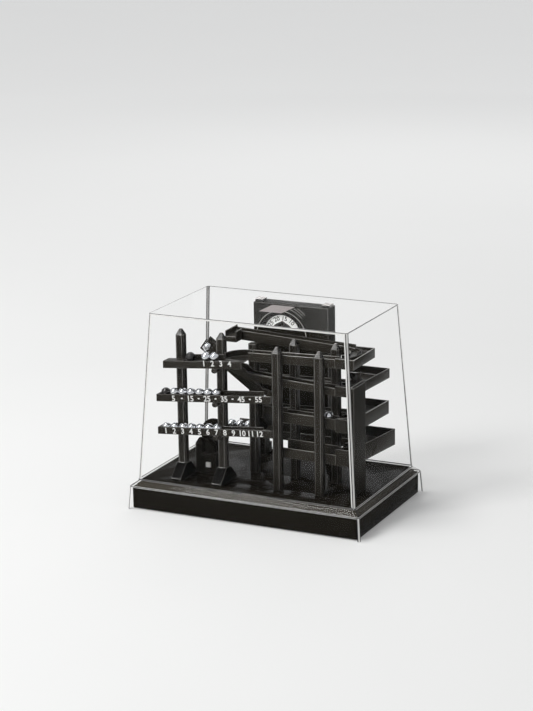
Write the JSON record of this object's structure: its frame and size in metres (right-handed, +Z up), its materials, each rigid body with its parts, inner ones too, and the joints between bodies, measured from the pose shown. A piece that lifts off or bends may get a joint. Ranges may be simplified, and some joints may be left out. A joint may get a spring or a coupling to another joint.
{
  "type": "rolling ball clock",
  "caption": "Tabletop clock in which steel balls roll along black plastic rails to show the time, under a clear hood on a stepped base, with a lift arm and a motor housing.",
  "frame": {"origin": "on the surface the clock stands on, under the middle of its case", "axes": "+X to the viewer's right along the rails, +Y to the back, +Z up"},
  "size_m": [0.2576, 0.1686, 0.203],
  "materials": {
    "black_plastic": "satin black moulding",
    "clear_cover": "clear acrylic",
    "steel_ball": "polished",
    "dark_ball": "dark polished",
    "disc": "white printed",
    "label": "bare satin",
    "clips": "bright",
    "switch": "white moulding",
    "steel": "zinc plated",
    "gears": "natural nylon",
    "motor": "plain can",
    "cells": "plain sleeve",
    "board": "green board",
    "rubber": "matt"
  },
  "bodies": {
    "base": {"adapter_socket": "black_plastic", "back_post_e": "black_plastic", "back_post_f": "black_plastic", "back_post_g": "black_plastic", "back_track_three": "black_plastic", "back_track_two": "black_plastic", "base_screws": "steel", "base_shell": "black_plastic", "battery_cells": "cells", "battery_contacts": "steel", "battery_door": "black_plastic", "bottom_plate": "black_plastic", "circuit_board": "board", "drop_chute": "black_plastic", "feed_rail": "black_plastic", "front_post_a": "black_plastic", "front_post_b": "black_plastic", "front_post_c": "black_plastic", "front_post_d": "black_plastic", "gear_axles": "steel", "gear_motor": "motor", "housing_clips": "clips", "housing_front": "black_plastic", "housing_rear": "black_plastic", "label_plate": "label", "minute_guide": "black_plastic", "pickup_cradle": "black_plastic", "pickup_pedestal": "black_plastic", "pivot_pins": "black_plastic", "rail_feeders": "black_plastic", "ramp_mouth": "black_plastic", "return_tray_four": "black_plastic", "return_tray_one": "black_plastic", "return_tray_three": "black_plastic", "return_tray_two": "black_plastic", "rubber_feet": "rubber", "spine_plate": "black_plastic", "top_ramp": "black_plastic", "track_four": "black_plastic", "track_one": "black_plastic", "track_three": "black_plastic", "track_two": "black_plastic", "waiting_balls": "steel_ball"},
    "cover": {"clear_cover": "clear_cover"},
    "minute_rail": {"minute_rail": "black_plastic", "minute_balls": "steel_ball", "minute_counterweight": "dark_ball"},
    "five_minute_rail": {"five_minute_rail": "black_plastic", "five_minute_balls": "steel_ball", "five_minute_counterweight": "dark_ball"},
    "hour_rail": {"hour_rail": "black_plastic", "hour_balls": "steel_ball"},
    "lift_arm": {"lift_arm": "black_plastic", "lift_ball": "steel_ball", "lift_shaft": "steel", "arm_gear": "gears"},
    "idler": {"idler_gear": "gears"},
    "seconds_disc": {"seconds_disc": "disc"},
    "motor_pinion": {"motor_pinion": "gears"},
    "power_switch": {"power_switch": "switch"}
  },
  "joints": [
    {"name": "cover_lift", "type": "slide", "parent": "base", "child": "cover", "axis": [0, 0, 1], "range_m": [0, 0.21]},
    {"name": "minute_rail_tip", "type": "hinge", "parent": "base", "child": "minute_rail", "pos_m": [-0.037, -0.0567, 0.15018], "axis": [0, 1, 0], "range_deg": [0, 10]},
    {"name": "five_minute_rail_tip", "type": "hinge", "parent": "base", "child": "five_minute_rail", "pos_m": [-0.037, -0.0567, 0.11519], "axis": [0, 1, 0], "range_deg": [0, 10]},
    {"name": "hour_rail_tip", "type": "hinge", "parent": "base", "child": "hour_rail", "pos_m": [-0.037, -0.0567, 0.08048], "axis": [0, 1, 0], "range_deg": [0, 10]},
    {"name": "arm_spin", "type": "hinge", "parent": "base", "child": "lift_arm", "pos_m": [-0.001, -0.02123, 0.1165], "axis": [0, 1, 0], "continuous": true},
    {"name": "idler_spin", "type": "hinge", "parent": "base", "child": "idler", "pos_m": [-0.0068, 0.0487, 0.1403], "axis": [0, 1, 0], "continuous": true},
    {"name": "disc_spin", "type": "hinge", "parent": "base", "child": "seconds_disc", "pos_m": [-0.0126, 0.0487, 0.1641], "axis": [0, 1, 0], "continuous": true},
    {"name": "pinion_spin", "type": "hinge", "parent": "base", "child": "motor_pinion", "pos_m": [0.01772, 0.0487, 0.11103], "axis": [0, 1, 0], "continuous": true},
    {"name": "switch_slide", "type": "slide", "parent": "base", "child": "power_switch", "axis": [0, 0, -1], "range_m": [0, 0.003]}
  ],
  "couplings": [
    {"joint": "idler_spin", "follows": "arm_spin", "ratio": -1.2273},
    {"joint": "disc_spin", "follows": "arm_spin", "ratio": 1},
    {"joint": "pinion_spin", "follows": "arm_spin", "ratio": -2.25}
  ]
}
